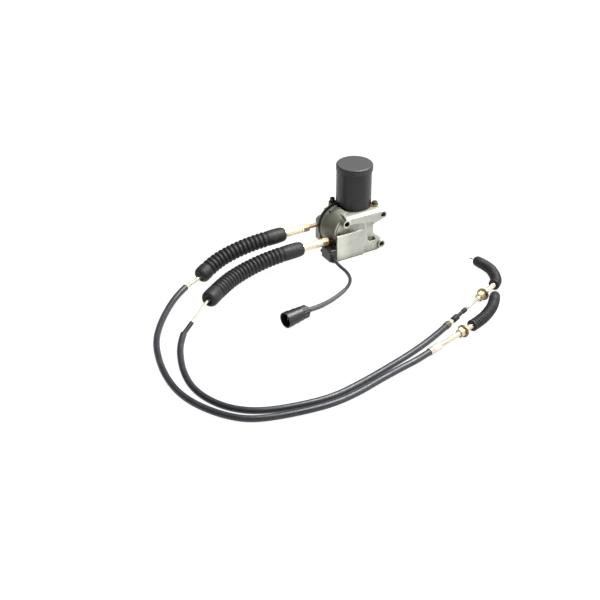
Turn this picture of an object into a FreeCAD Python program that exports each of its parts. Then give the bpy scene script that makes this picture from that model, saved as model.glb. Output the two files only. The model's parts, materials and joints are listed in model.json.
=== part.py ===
import FreeCAD, Part
import math
import os

# Governor (throttle) actuator of an excavator: a worm-gear motor that pulls two control cables in
# opposite directions. Units are mm. Origin: the motor axis on the base plane. +Z is up along the motor,
# the cables leave towards -X, and the three mounting lugs face -Y.

V = FreeCAD.Vector
X, Y, Z = V(1, 0, 0), V(0, 1, 0), V(0, 0, 1)

# ---- motor ----
SEAT_Z = 76.0            # top of the casting, where the motor sits
FLANGE_T = 2.5
CAN_R = 29.5
CAN_WALL = 2.0
CAN_TOP = 147.0
CAP_R = 30.7
CAP_OFFSET = 0.7         # the rubber cap sits a little to one side
CAP_TOP = 151.0
CAP_SKIRT_Z = 140.5
EAR_RADIUS = 35.4        # motor axis to each flange screw
EAR_ANGLES = (143.0, -37.0)
BUSH_Z = 139.5           # underside of the motor's upper bush
ROTOR_R = 21.8
MAGNET_IN = 22.6
SHAFT_R = 4.0

# ---- worm gear ----
MODULE = 1.2
WHEEL_TEETH = 36
PITCH = math.pi * MODULE
WHEEL_PITCH_R = MODULE * WHEEL_TEETH / 2
WORM_PITCH_R = 6.4
WHEEL_HALF_T = 4.0
AXLE_X = -(WHEEL_PITCH_R + WORM_PITCH_R)
AXLE_Z = 40.0
ADDENDUM = 1.1
WORM_ROOT_R = 4.9
WHEEL_ROOT_R = 20.2
WORM_TOOTH_HALF = 0.7    # half thickness of the thread at its pitch radius
WHEEL_TOOTH_HALF = 0.65
FLANK = math.tan(math.radians(15.0))

# ---- cable pulleys and wires ----
PULL_R = 8.5             # radius of the wire's centre on its pulley
PULLEY_R = 11.0
WIRE_R = 0.75
LANE = 1.75              # the wound wire lies one lane beside the straight one
WRAP_TURN = 200.0
BORE_R = 1.5

# ---- gear case ----
CASE_X, CASE_Z = -28.0, 47.0
CASE_R = 34.0
RIM_R = 35.5
RIM_Y = 4.0
GASKET_T = 3.5
COVER_Y = RIM_Y + GASKET_T
COVER_T = 3.2
COVER_BACK_Y = 22.5
COVER_X1 = -13.4         # the cover stops short of the worm tower
TOWER_R = 12.8
LUG_FACE_Y = -41.0
FRONT_Y = -40.0
LUG_R = 7.0
LUG_BORE_R = 4.5
LUGS = {"a": (-37.7, 65.5), "b": (33.6, 65.3), "c": (31.8, 10.6)}
LUG_BACK_Y = -30.0
BOX_X0, BOX_X1 = -56.0, -4.0
BOX_TOP = 47.0
LEDGE_TOP = 24.0

# ---- cables ----
SLEEVE_R = 6.5
BOOT_R = 14.0
CORD_R = 5.0
FAR_BOOT_R = 9.4
LEAD_R = 2.75
ADJUSTER_R = 3.2
CORD_Z = 5.1             # height of a conduit that lies on the base plane

UPPER = {"y": 12.0, "z": AXLE_Z + PULL_R, "wall": -61.0, "nut": -81.0, "boot": -126.0,
         "wire_end": -104.0}
LOWER = {"y": -19.0, "z": AXLE_Z - PULL_R, "wall": -51.0, "nut": -62.5, "boot": -110.0,
         "wire_end": -96.0}
NUT_LENGTH = 10.5
SOCKET = 12.0            # how far a sleeve or tube reaches into a near boot
FAR_SOCKET = 8.0

BOOT_ROUTES = {
    "upper": [(-126, 12, 48.5), (-156, 12, 48.5), (-199, 15.5, 43.8), (-240, 16, 34.3), (-268, 9.5, 26.5),
              (-289, 0.8, 19.5)],
    "lower": [(-110, -19, 31.5), (-140, -19, 31.5), (-181, -17.3, 27.3), (-221, -20, 20.8), (-262, -33, 16.5),
              (-307, -63, 14.3)],
}
GUIDE_ENDS = {"upper": (-317, -4.5, 11.8), "lower": (-378.6, -121.7, 8.0)}
GUIDE_R = {"upper": 3.0, "lower": 2.2}
NECK_R = 3.4
NECK_LENGTH = 30.0       # rubber neck over the last stretch of the lower guide tube

CONDUIT_ROUTES = {
    "upper": [(-317, -4.5, 11.8), (-335, -13.5, 8.8), (-363, -37.5, 6.1), (-396, -75, CORD_Z),
              (-422, -115, CORD_Z), (-438, -158, CORD_Z), (-448.5, -202, CORD_Z), (-451.5, -243, CORD_Z),
              (-447, -276, CORD_Z), (-436, -306, CORD_Z), (-420, -334, CORD_Z),
              (-398, -357.5, CORD_Z), (-368, -370.5, CORD_Z),
              (-322, -381, CORD_Z), (-274, -386.5, CORD_Z), (-228, -380.5, CORD_Z), (-187, -370, 5.4),
              (-142, -362.3, 7.2), (-113.8, -359.6, 9.5), (-88.7, -352.65, 10.1)],
    "lower": [(-378.6, -121.7, 8), (-393, -140, 6), (-409, -172, CORD_Z), (-423, -212, CORD_Z),
              (-429, -254, CORD_Z), (-421.5, -294, CORD_Z), (-402, -328, CORD_Z), (-371, -351.5, CORD_Z),
              (-322, -365.5, CORD_Z), (-268, -372.5, CORD_Z), (-212, -362.5, CORD_Z), (-156, -348.5, CORD_Z),
              (-105, -335.5, 6.3), (-57.8, -321.1, 9.4), (-26.5, -307, 10.1)],
}
LEAD_ROUTE = [(-63, -46.5, 6.5), (-63.5, -60, 4.7), (-62.5, -81, 4.2), (-68.5, -103, 4.2), (-83, -121, 4.2),
              (-104, -134, 4.4), (-125, -144, 5), (-146, -152.8, 6.8), (-166, -160.6, 10), (-185, -164.5, 13)]

# ---- far ends: the straight axis of each threaded adjuster ----
FAR_Z = 10.1
FAR = {
    "upper": {"start": V(-88.7, -352.65, FAR_Z), "heading": 15.5, "boot_at": 101.0, "nut_at": 70.5,
              "nut_length": 10.0, "ferrule": 25.0, "ferrule_r": 6.0},
    "lower": {"start": V(-26.5, -307, FAR_Z), "heading": 24.3, "boot_at": 152.0, "nut_at": 103.6,
              "nut_length": 13.0, "ferrule": 10.0, "ferrule_r": 5.7},
}
THREAD_R = 4.0
FAR_BOOT_BENDS = {
    "upper": [(32, -319.1, 10), (56, -306, 9.8), (78, -290.5, 9.7), (96.6, -268.5, 9.6)],
    "lower": [(121.8, -240.0, 10), (134, -218.5, 9.8), (141.5, -192, 9.7), (135, -163.5, 9.6)],
}
FLANGE_R = 10.0
TIP_BORE_R = 2.8
TIP_BORE = 29.0          # how deep the wire's end can draw back into a far boot
BALL_R = 2.2
TIP_OUT = {"upper": -2.0, "lower": 9.0}
TIP_INSIDE = 15.0

# ---- electrical connector ----
PLUG_AT = V(-185, -164.5, 13)
PLUG_AXIS = V(-0.984, -0.178, 0).normalize()


def box(x0, x1, y0, y1, z0, z1):
    return Part.makeBox(x1 - x0, y1 - y0, z1 - z0, V(x0, y0, z0))


def rod(radius, start, end):
    return Part.makeCylinder(radius, (end - start).Length, start, end - start)


def tube(outer, inner, start, end):
    return rod(outer, start, end).cut(rod(inner, start, end))


def disc_y(radius, x, z, y0, y1):
    """A cylinder along Y."""
    return Part.makeCylinder(radius, y1 - y0, V(x, y0, z), Y)


def disc_z(radius, z0, z1, x=0.0, y=0.0):
    return Part.makeCylinder(radius, z1 - z0, V(x, y, z0), Z)


def polar(radius, degrees):
    return (radius * math.cos(math.radians(degrees)), radius * math.sin(math.radians(degrees)))


def prism(points, direction):
    """A closed outline pushed along a direction."""
    wire = Part.makePolygon([V(*p) for p in points] + [V(*points[0])])
    return Part.Face(wire).extrude(direction)


def hexagon(across_flats, start, direction, length):
    radius = across_flats / math.sqrt(3.0)
    corners = [V(*polar(radius, 60 * i), 0) for i in range(6)]
    solid = Part.Face(Part.makePolygon(corners + corners[:1])).extrude(V(0, 0, length))
    chamfer = Part.makeCone(radius - 0.9, radius + 2.0, 2.9, V(0, 0, 0), Z)
    chamfer = chamfer.fuse(Part.makeCylinder(radius + 2.0, length - 5.8, V(0, 0, 2.9), Z))
    chamfer = chamfer.fuse(Part.makeCone(radius + 2.0, radius - 0.9, 2.9, V(0, 0, length - 2.9), Z))
    solid = solid.common(chamfer)
    solid.Placement = FreeCAD.Placement(start, FreeCAD.Rotation(Z, direction))
    return solid


def union(first, *others):
    return first.fuse(list(others)).removeSplitter()


def round_edges(solid, radius, chosen):
    """Fillet the chosen edges, one test on each edge's middle point."""
    edges = [e for e in solid.Edges if chosen(e.CenterOfMass)]
    return solid.makeFillet(radius, edges)


# ---------------------------------------------------------------- routes
def rounded_path(points, name=None):
    """Straight runs joined by tangent arcs."""
    points = [V(*p) for p in points]
    edges = []
    start = points[0]
    length = 0.0
    radii = []
    for before, corner, after in zip(points, points[1:], points[2:]):
        into = (corner - before).normalize()
        out = (after - corner).normalize()
        turn = into.getAngle(out)
        cut = 0.45 * min((corner - before).Length, (after - corner).Length)
        radius = cut / math.tan(turn / 2)
        radii.append(radius)
        a = corner - into * cut
        b = corner + out * cut
        to_centre = (out - into).normalize()
        middle = corner + to_centre * (radius / math.cos(turn / 2) - radius)
        edges.append(Part.LineSegment(start, a).toShape())
        edges.append(Part.Arc(a, middle, b).toShape())
        length += (a - start).Length + radius * turn
        start = b
    edges.append(Part.LineSegment(start, points[-1]).toShape())
    length += (points[-1] - start).Length
    if name:
        print(name, "length", round(length, 1), "smallest radius", round(min(radii), 1))
    return Part.Wire(edges), length


def sweep_tube(points, radius, name=None):
    path, length = rounded_path(points, name)
    first = (V(*points[1]) - V(*points[0])).normalize()
    ring = Part.Wire([Part.makeCircle(radius, V(*points[0]), first)])
    solid = path.makePipeShell([ring], True, False)
    if solid.Volume < 0:
        solid.reverse()
    if name:
        print(name, "volume over section x length", round(solid.Volume / (math.pi * radius ** 2 * length), 4))
    return solid


# ---------------------------------------------------------------- gear case
def lug(name, face_y=LUG_FACE_Y):
    x, z = LUGS[name]
    return disc_y(LUG_R, x, z, face_y, LUG_BACK_Y)


def gear_case():
    drum = disc_y(CASE_R, CASE_X, CASE_Z, -9.0, RIM_Y)
    taper = Part.makeCone(27.0, CASE_R, 21.0, V(CASE_X, -30.0, CASE_Z), Y)
    rim = disc_y(RIM_R, CASE_X, CASE_Z, 0.0, RIM_Y)
    nose = disc_y(24.0, CASE_X, CASE_Z, -32.0, -29.0)
    tower = disc_z(TOWER_R, 10.0, 70.0)
    seat = disc_z(31.5, 66.0, SEAT_Z)
    saddle = prism([(-37.5, 3.4, 66), (-37.5, -29.3, 66), (30.6, -29.3, 66), (30.6, 0, 66)],
                   V(0, 0, SEAT_Z - 66.0))
    posts = [disc_z(6.6, 60.5, SEAT_Z, *polar(EAR_RADIUS, a)) for a in EAR_ANGLES]
    brow = prism([(-37.2, -27, 64), (-39.8, FRONT_Y, 64), (31, FRONT_Y, 64), (32, -27, 64)],
                 V(0, 0, SEAT_Z - 64.0))
    bevel = prism([(-35, FRONT_Y - 1, 71.5), (-35, FRONT_Y - 1, 79), (-35, -30.6, 79)], V(70, 0, 0))
    beam = prism([(-38, FRONT_Y, 60), (-28, FRONT_Y, 62), (-8, FRONT_Y, 59), (16.5, FRONT_Y, 55.5),
                  (16.5, FRONT_Y, 71), (-38, FRONT_Y, 71)], V(0, 9.0, 0))
    web = prism([(-43, -28, 44.5), (-43, -29.5, 44.5), (-3.4, -39.4, 44.5), (-3.4, -28, 44.5)], V(0, 0, 17.0))
    column = box(-4.0, 16.5, -37.5, 0.0, 0.0, 68.0)
    ridge = box(-3.6, 0.3, FRONT_Y, -36.0, 14.5, 60.0)
    body = box(BOX_X0, BOX_X1 + 1.0, FRONT_Y, -10.0, 0.0, LEDGE_TOP)
    upper_body = box(-46.0, BOX_X1 + 1.0, FRONT_Y, -10.0, LEDGE_TOP, BOX_TOP)
    screen = box(BOX_X0, -46.0, FRONT_Y, -36.0, LEDGE_TOP, BOX_TOP)
    foot = box(-30.0, 15.0, -10.0, 16.0, 0.0, 12.5)
    under = box(-12.8, 12.8, -12.0, 12.0, 8.0, 30.0)
    gusset = prism([(13, -37.2, 0), (13, -37.2, 37), (17, -37.2, 34.8), (36.5, -37.2, 16.8),
                    (38, -37.2, 12), (36, -37.2, 4.5), (26, -37.2, 0)], V(0, 6.2, 0))
    arm_b = prism([(10, FRONT_Y, 71.6), (30, FRONT_Y, 71.9), (36, FRONT_Y, 71), (39, FRONT_Y, 66),
                   (38, FRONT_Y, 59.5), (15, FRONT_Y, 52)], V(0, 9.0, 0))
    cable_boss = rod(6.8, V(LOWER["wall"], LOWER["y"], LOWER["z"]), V(-40, LOWER["y"], LOWER["z"]))
    case = drum.fuse([taper, rim, nose, tower, seat, saddle, *posts, brow.cut(bevel), beam, web, column,
                      ridge, body, upper_body, screen, foot, under, gusset, arm_b, cable_boss,
                      *[lug(name) for name in LUGS]])
    for name, (x, z) in LUGS.items():
        case = case.cut(disc_y(LUG_BORE_R, x, z, LUG_FACE_Y - 1, LUG_BACK_Y + 1))
    case = case.cut([case_cavities(), cover_room(), motor_room()])
    return case


def cover_room():
    """The step behind the rim in which the gasket and the cover's plate lie."""
    disc = disc_y(RIM_R + 1.0, CASE_X, CASE_Z, RIM_Y, COVER_Y + COVER_T + 0.1)
    return disc.common(box(-80, COVER_X1 + 0.2, 0, 20, 0, 100))


def motor_room():
    """The space over the seat plane that the motor's flange needs."""
    room = disc_z(CAN_R + 2.0, SEAT_Z, 100.0)
    for angle in EAR_ANGLES:
        bridge = box(0.0, EAR_RADIUS + 8.0, -7.6, 7.6, SEAT_Z, 100.0)
        bridge.rotate(V(0, 0, 0), Z, angle)
        room = room.fuse(bridge)
    return room


def behind_rim(solid):
    """Trim a disc behind the rim to the straight edge beside the worm tower, and clear of the motor."""
    return solid.common(box(-80, COVER_X1, 0, 40, 0, 100)).cut(motor_room())


def case_cavities():
    wheel_room = disc_y(30.2, CASE_X, CASE_Z, -5.5, RIM_Y + 1)
    pulley_room = disc_y(18.0, CASE_X, AXLE_Z + 2.0, -25.0, -5.0)
    front_bush = disc_y(6.0, AXLE_X, AXLE_Z, -31.5, -24.5)
    sensor_room = disc_y(5.6, AXLE_X, AXLE_Z, -37.0, -31.4)
    wire_slot = box(AXLE_X - 3.5, AXLE_X + 3.5, -37.0, -31.5, 18.0, AXLE_Z)
    electronics = box(BOX_X0 - 1, -12.0, -36.5, -13.5, 3.5, 20.5)
    worm_room = disc_z(8.8, 25.0, 62.0)
    bearing_seat = disc_z(11.0, 71.0, SEAT_Z + 1)
    neck = disc_z(6.0, 61.0, 72.0)
    lower_bush = disc_z(6.0, 17.0, 26.0)
    cable_thread = rod(ADJUSTER_R, V(-60, LOWER["y"], LOWER["z"]), V(-43.5, LOWER["y"], LOWER["z"]))
    cable_way = rod(BORE_R, V(-60, LOWER["y"], LOWER["z"]), V(-30, LOWER["y"], LOWER["z"]))
    pocket = prism([(6, -42, 30), (19, -42, 26.5), (21.5, -42, 20), (11, -42, 19.5), (6, -42, 24)],
                   V(0, 9.0, 0))
    dimple = disc_z(1.6, SEAT_Z - 1.2, SEAT_Z + 1, -30.6, -25.7)
    screw_holes = [disc_z(2.5, 60.0, SEAT_Z + 1, *polar(EAR_RADIUS, a)) for a in EAR_ANGLES]
    cover_holes = [disc_y(1.6, x, z, -5.0, RIM_Y + 1) for x, z in cover_screw_places()]
    end_holes = [rod(1.3, V(BOX_X0 - 1, y, z), V(BOX_X0 + 7, y, z)) for y, z in end_screw_places()]
    return wheel_room.fuse([pulley_room, front_bush, sensor_room, wire_slot, electronics, worm_room,
                            bearing_seat, neck, lower_bush, cable_thread, cable_way, pocket, dimple,
                            *screw_holes, *cover_holes, *end_holes])


def cover_screw_places():
    return [(CASE_X + x, CASE_Z + z) for x, z in (polar(32.6, a) for a in (126, 222, 288))]


def end_screw_places():
    return [(-36.9, 17.5), (-11.8, 12.0)]


def case_gasket():
    hole = disc_y(30.2, CASE_X, CASE_Z, RIM_Y, COVER_Y).common(box(-80, COVER_X1 - 3.6, 0, 40, 0, 100))
    ring = behind_rim(disc_y(RIM_R + 0.8, CASE_X, CASE_Z, RIM_Y, COVER_Y)).cut(hole)
    for x, z in cover_screw_places():
        ring = ring.cut(disc_y(1.7, x, z, RIM_Y, COVER_Y))
    return ring


def rear_cover():
    plate = behind_rim(disc_y(RIM_R, CASE_X, CASE_Z, COVER_Y, COVER_Y + COVER_T))
    left, right = UPPER["wall"], COVER_X1 + 0.2
    outline = [(left, COVER_Y, 20), (left, COVER_Y, 55), (left + 5, COVER_Y, 60), (right, COVER_Y, 60),
               (right, COVER_Y, 20)]
    boss = prism(outline, V(0, COVER_BACK_Y - COVER_Y, 0))
    cover = union(plate, boss)
    cover = round_edges(cover, 2.5, lambda c: c.y > COVER_BACK_Y - 0.1)
    cover = cover.cut(disc_y(12.6, AXLE_X, AXLE_Z, COVER_Y - 1, 17.0))
    cover = cover.cut(disc_y(6.0, AXLE_X, AXLE_Z, 16.5, 21.0))
    way = (UPPER["y"], UPPER["z"])
    cover = cover.cut(rod(ADJUSTER_R, V(-66, *way), V(-53, *way)))
    cover = cover.cut(rod(BORE_R, V(-66, *way), V(-35, *way)))
    face = COVER_Y + COVER_T
    for x, z in cover_screw_places():
        cover = cover.cut(disc_y(1.7, x, z, COVER_Y - 1, face + 1))
        cover = cover.cut(disc_y(3.4, x, z, face, COVER_BACK_Y + 1))
    return cover


def pan_screw(head_r, head_h, shank_r, shank, place, axis):
    """A pan-head screw: its head stands out along the axis from the place, its shank goes the other way."""
    head = Part.makeCylinder(head_r, head_h, place, axis)
    rim = [e for e in head.Edges if (e.CenterOfMass - place).Length > head_h * 0.9]
    head = head.makeFillet(head_h * 0.35, rim)
    body = union(head, Part.makeCylinder(shank_r, shank, place, axis * -1))
    side = V(1, 0, 0) if abs(axis.x) < 0.5 else V(0, 1, 0)
    other = axis.cross(side)
    for a, b in ((side, other), (other, side)):
        corner = place + axis * (head_h * 0.5) - a * (head_r * 0.55) - b * (head_r * 0.12)
        slot = Part.Face(Part.makePolygon([corner, corner + a * (head_r * 1.1),
                                           corner + a * (head_r * 1.1) + b * (head_r * 0.24),
                                           corner + b * (head_r * 0.24), corner])).extrude(axis * head_h)
        body = body.cut(slot)
    return body


def cover_screws():
    return [pan_screw(2.9, 2.4, 1.6, 8.0, V(x, COVER_Y + COVER_T, z), Y) for x, z in cover_screw_places()]


def end_cover():
    shell = box(-69.0, BOX_X0, -40.0, -11.0, 1.0, 23.5)
    shell = round_edges(shell, 3.0, lambda c: c.x < -60.0)
    shell = shell.cut(box(-66.5, BOX_X0 + 1, -37.5, -13.5, 3.5, 20.5))
    for y, z in end_screw_places():
        shell = shell.fuse(rod(2.6, V(-67.0, y, z), V(BOX_X0, y, z)))
        shell = shell.cut(rod(1.5, V(-72.0, y, z), V(BOX_X0, y, z)))
        shell = shell.cut(rod(3.4, V(-72.0, y, z), V(-66.9, y, z)))
    grommet_hole = disc_y(4.0, -63.0, 6.5, -41.0, -37.0)
    return shell.removeSplitter().cut(grommet_hole)


def end_cover_screws():
    return [pan_screw(3.0, 2.6, 1.3, 15.0, V(-66.9, y, z), X * -1) for y, z in end_screw_places()]


# ---------------------------------------------------------------- motor
def flange_plate():
    top = SEAT_Z + FLANGE_T
    plate = disc_z(CAN_R - CAN_WALL, SEAT_Z, top)
    for angle in EAR_ANGLES:
        ear = disc_z(6.2, SEAT_Z, top, *polar(EAR_RADIUS, angle))
        bridge = box(0.0, EAR_RADIUS, -6.2, 6.2, SEAT_Z, top)
        bridge.rotate(V(0, 0, 0), Z, angle)
        plate = plate.fuse([ear, bridge])
    return plate.removeSplitter()


def motor_flange():
    """The plate inside the foot of the can, with two ears that stand out through it."""
    plate = flange_plate().cut(disc_z(11.5, SEAT_Z - 1, SEAT_Z + FLANGE_T + 1))
    for angle in EAR_ANGLES:
        plate = plate.cut(disc_z(2.7, SEAT_Z - 1, SEAT_Z + FLANGE_T + 1, *polar(EAR_RADIUS, angle)))
    return plate


def motor_screws():
    top = SEAT_Z + FLANGE_T
    screws = []
    for angle, low in zip(EAR_ANGLES, (False, True)):
        x, y = polar(EAR_RADIUS, angle)
        head = disc_z(4.6, top + 1.2, top + 4.8, x, y) if low else hexagon(8.0, V(x, y, top + 1.2), Z, 5.9)
        if low:
            head = round_edges(head, 1.3, lambda c: c.z > top + 4.7)
        washer = disc_z(5.2, top, top + 1.2, x, y)
        shank = disc_z(2.5, 62.0, top + 1.2, x, y)
        screws.append(union(head, washer, shank))
    return screws


def motor_can():
    can = disc_z(CAN_R, SEAT_Z, CAN_TOP)
    can = round_edges(can, 2.5, lambda c: c.z > CAN_TOP - 0.1)
    can = can.cut(disc_z(CAN_R - CAN_WALL, SEAT_Z - 1, CAN_TOP - CAN_WALL)).cut(flange_plate())
    boss = disc_z(10.5, BUSH_Z, CAN_TOP - 1.0).cut(disc_z(8.0, BUSH_Z - 1, CAN_TOP - CAN_WALL))
    return union(can, boss)


def motor_cap():
    cap = disc_z(CAP_R, CAP_SKIRT_Z, CAP_TOP, CAP_OFFSET)
    cap = round_edges(cap, 3.0, lambda c: c.z > CAP_TOP - 0.1)
    inner = disc_z(CAN_R, CAP_SKIRT_Z - 1, CAN_TOP)
    inner = round_edges(inner, 2.5, lambda c: c.z > CAN_TOP - 0.1)
    return cap.cut(inner)


def magnets():
    pair = []
    for middle in (0.0, 180.0):
        ring = disc_z(CAN_R - CAN_WALL, 98.0, 132.0).cut(disc_z(MAGNET_IN, 97.0, 133.0))
        outline = [(0, 0)] + [polar(40.0, middle + a) for a in (-66, -33, 0, 33, 66)]
        sector = prism([(x, y, 97) for x, y in outline], V(0, 0, 36))
        pair.append(ring.common(sector))
    return pair


BRUSH_Z0, BRUSH_Z1 = 86.5, 92.5


def brush_sides():
    return (1.0, -1.0)


def brush_card():
    ring = disc_z(CAN_R - CAN_WALL, 81.5, 84.0).cut(disc_z(11.0, 80.0, 85.0))
    for side in brush_sides():
        y0, y1 = sorted((side * 11.5, side * 24.0))
        holder = box(-4.5, 4.5, y0, y1, 84.0, 94.5)
        c0, c1 = sorted((side * 11.0, side * 22.5))
        ring = ring.fuse(holder).cut(box(-2.6, 2.6, c0, c1, BRUSH_Z0 - 0.1, BRUSH_Z1 + 0.1))
    return ring.removeSplitter()


def brushes():
    blocks = []
    for side in brush_sides():
        y0, y1 = sorted((side * 9.25, side * 16.5))
        blocks.append(box(-2.5, 2.5, y0, y1, BRUSH_Z0, BRUSH_Z1).cut(disc_z(9.3, 80.0, 95.0)))
    return blocks


def brush_springs():
    coils = []
    for side in brush_sides():
        turns = Part.makeHelix(1.5, 5.2, 1.6)
        wire_ring = Part.Wire([Part.makeCircle(0.3, V(1.6, 0, 0), Y)])
        coil = Part.Wire(turns).makePipeShell([wire_ring], True, True)
        coil.rotate(V(0, 0, 0), X, -90.0 * side)
        coil.translate(V(0, side * 16.9, (BRUSH_Z0 + BRUSH_Z1) / 2))
        coils.append(coil)
    return coils


def upper_bush():
    return disc_z(8.0, BUSH_Z, CAN_TOP - CAN_WALL).cut(disc_z(SHAFT_R + 0.04, BUSH_Z - 1, CAN_TOP))


def lower_bearing():
    ring = disc_z(11.0, 71.0, SEAT_Z).cut(disc_z(SHAFT_R + 0.04, 70.0, SEAT_Z + 1))
    groove = disc_z(8.8, SEAT_Z - 0.6, SEAT_Z + 1).cut(disc_z(6.4, SEAT_Z - 1, SEAT_Z + 1))
    return ring.cut(groove)


# ---------------------------------------------------------------- rotor
def armature_shaft():
    return union(disc_z(SHAFT_R, 55.0, BUSH_Z + 3.0), disc_z(3.0, 18.0, 56.0))


def slot_bar(half_width, inner, outer, angle, z0, z1):
    bar = box(inner, outer, -half_width, half_width, z0, z1)
    bar.rotate(V(0, 0, 0), Z, angle)
    return bar


def armature_core():
    core = disc_z(ROTOR_R, 100.0, 128.0).cut(disc_z(SHAFT_R, 99.0, 129.0))
    for i in range(8):
        core = core.cut(slot_bar(2.2, 11.0, 20.3, i * 45.0, 99.0, 129.0))
        core = core.cut(slot_bar(0.8, 19.0, 23.0, i * 45.0, 99.0, 129.0))
    return core


def windings():
    ends = [disc_z(19.0, z0, z0 + 5.0).cut(disc_z(8.0, z0 - 1, z0 + 6.0)) for z0 in (94.8, 128.2)]
    ends = [ring.makeFillet(1.8, ring.Edges) for ring in ends]
    bars = [slot_bar(2.0, 11.3, 18.4, i * 45.0, 97.0, 131.0) for i in range(8)]
    return union(ends[0], ends[1], *bars)


def commutator():
    ring = disc_z(9.0, 86.0, 93.5).cut(disc_z(SHAFT_R, 85.0, 95.0))
    for i in range(8):
        ring = ring.cut(slot_bar(0.25, 7.6, 10.0, 22.5 + i * 45.0, 85.0, 95.0))
    return ring


def worm():
    """A right-hand thread on a plain core, with a thread crest half a pitch above the axle's height."""
    turns = 5
    height = turns * PITCH
    root = WORM_ROOT_R - 0.15
    tip = WORM_PITCH_R + ADDENDUM
    half_root = WORM_TOOTH_HALF + (WORM_PITCH_R - root) * FLANK
    half_tip = WORM_TOOTH_HALF - ADDENDUM * FLANK
    helix = Part.makeHelix(PITCH, height, root)
    corners = [V(root, 0, -half_root), V(tip, 0, -half_tip), V(tip, 0, half_tip), V(root, 0, half_root)]
    profile = Part.makePolygon(corners + corners[:1])
    thread = Part.Wire(helix).makePipeShell([profile], True, True)
    # the helix starts at +X; half a turn on, at -X, it has risen by half a pitch
    thread.translate(V(0, 0, AXLE_Z - 2 * PITCH - PITCH))
    core = disc_z(WORM_ROOT_R, AXLE_Z - 13.0, AXLE_Z + 14.5)
    body = core.fuse(thread)
    return body.cut(disc_z(3.0, 20.0, 60.0))


# ---------------------------------------------------------------- output shaft
def wheel_tooth():
    tip = WHEEL_PITCH_R + ADDENDUM
    root = WHEEL_ROOT_R - 0.3
    half_tip = WHEEL_TOOTH_HALF - ADDENDUM * FLANK
    half_root = WHEEL_TOOTH_HALF + (WHEEL_PITCH_R - root) * FLANK
    y0 = -WHEEL_HALF_T
    outline = [(root, y0, -half_root), (tip, y0, -half_tip), (tip, y0, half_tip), (root, y0, half_root)]
    tooth = prism(outline, V(0, 2 * WHEEL_HALF_T, 0))
    lead = math.degrees(math.atan(PITCH / (2 * math.pi * WORM_PITCH_R)))
    tooth.rotate(V(0, 0, 0), X, -lead)
    return tooth


def worm_wheel():
    blank = disc_y(WHEEL_ROOT_R, 0, 0, -WHEEL_HALF_T, WHEEL_HALF_T)
    teeth = []
    for i in range(WHEEL_TEETH):
        tooth = wheel_tooth()
        tooth.rotate(V(0, 0, 0), Y, i * 360.0 / WHEEL_TEETH)
        teeth.append(tooth)
    wheel = blank.fuse(teeth)
    for y0, y1 in ((-WHEEL_HALF_T - 1, -2.0), (2.0, WHEEL_HALF_T + 1)):
        wheel = wheel.cut(disc_y(17.5, 0, 0, y0, y1).cut(disc_y(8.0, 0, 0, y0, y1)))
    wheel = wheel.cut(disc_y(SHAFT_R, 0, 0, -6.0, 6.0))
    wheel = wheel.common(disc_y(30.0, 0, 0, -WHEEL_HALF_T, WHEEL_HALF_T))
    wheel.translate(V(AXLE_X, 0, AXLE_Z))
    return wheel


def output_shaft():
    return union(disc_y(SHAFT_R, AXLE_X, AXLE_Z, -30.5, 20.5), disc_y(2.0, AXLE_X, AXLE_Z, -36.0, -30.0))


def pulley(run_y, outward, hub_y):
    """A grooved pulley: the straight wire's lane at run_y, the wound wire's lane one step outward."""
    near, far = run_y - outward * 0.9, run_y + outward * (LANE + 0.9)
    faces = sorted((near - outward * 1.5, far + outward * 1.5))
    solid = disc_y(PULLEY_R, AXLE_X, AXLE_Z, *faces)
    y0, y1 = sorted((near, far))
    groove = disc_y(PULLEY_R + 1, AXLE_X, AXLE_Z, y0, y1)
    solid = solid.cut(groove.cut(disc_y(PULL_R - WIRE_R, AXLE_X, AXLE_Z, y0, y1)))
    hub = sorted((hub_y, near - outward * 1.4))
    solid = union(solid, disc_y(6.0, AXLE_X, AXLE_Z, *hub))
    return solid.cut(disc_y(SHAFT_R, AXLE_X, AXLE_Z, -40.0, 40.0))


def nipple(run_y, outward, top):
    """The wire's end fitting, sunk in the pulley's outer flange."""
    angle = 90.0 - WRAP_TURN if top else -90.0 + WRAP_TURN
    x, z = polar(PULL_R, angle)
    y0, y1 = sorted((run_y + outward * (LANE - 0.9), run_y + outward * (LANE + 2.2)))
    return disc_y(1.7, AXLE_X + x, AXLE_Z + z, y0, y1)


def wire_wrap(run_y, outward, top):
    """The wire wound on the pulley, from its tangent point to its nipple."""
    y = run_y + outward * LANE
    way = -1.0 if top else 1.0
    points = []
    for turn in (0.0, WRAP_TURN / 2, WRAP_TURN):
        x, z = polar(PULL_R, way * (turn - 90.0))
        points.append(V(AXLE_X + x, y, AXLE_Z + z))
    arc = Part.Wire([Part.Arc(*points).toShape()])
    ring = Part.Wire([Part.makeCircle(WIRE_R, points[0], X)])
    return union(arc.makePipeShell([ring], True, False), nipple(run_y, outward, top))


def shaft_bushes():
    front = disc_y(6.0, AXLE_X, AXLE_Z, -31.4, -25.0).cut(disc_y(SHAFT_R + 0.04, AXLE_X, AXLE_Z, -33, -24))
    rear = disc_y(6.0, AXLE_X, AXLE_Z, 17.0, 21.0).cut(disc_y(SHAFT_R + 0.04, AXLE_X, AXLE_Z, 16, 20.9))
    low = disc_z(6.0, 17.0, 25.0).cut(disc_z(3.04, 17.9, 26.0))
    return [front, rear, low]


def position_sensor():
    """A rotary sensor round the output shaft's front stub."""
    return disc_y(5.5, AXLE_X, AXLE_Z, -36.8, -31.6).cut(disc_y(2.05, AXLE_X, AXLE_Z, -36.2, -31.0))


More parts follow.
